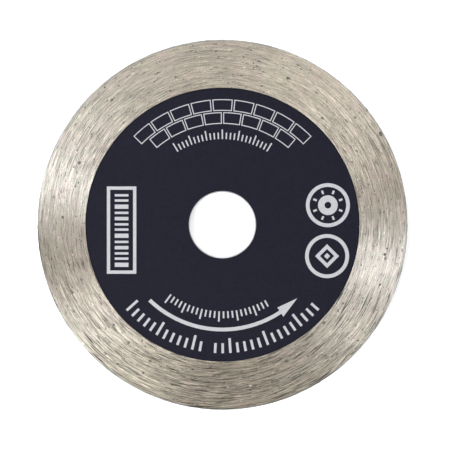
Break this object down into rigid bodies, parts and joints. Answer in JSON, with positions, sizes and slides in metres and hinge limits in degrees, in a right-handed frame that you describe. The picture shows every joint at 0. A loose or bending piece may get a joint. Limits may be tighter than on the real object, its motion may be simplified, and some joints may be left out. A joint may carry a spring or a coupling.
{
  "type": "diamond blade",
  "caption": "Thin round cutting blade with a ground continuous diamond rim, a dark painted steel core, a plain round arbor hole and flat printed marks on the front face.",
  "frame": {"origin": "centre of the bore, half way through the blade's thickness", "axes": "+Z along the blade's axis, out of the printed front face; +Y towards the top of that face as it is read"},
  "size_m": [0.054, 0.054, 0.0016],
  "materials": {
    "core_steel": "satin",
    "rim_metal": "satin",
    "paint": "satin",
    "ink": "matte"
  },
  "bodies": {
    "root": {"steel_core": "core_steel", "diamond_rim": "rim_metal", "front_paint": "paint", "back_paint": "paint", "label_frame": "ink", "upper_badge_ring": "ink", "upper_badge_disc": "ink", "lower_badge_ring": "ink", "lower_badge_diamond": "ink", "rotation_arrow": "ink"}
  },
  "joints": []
}
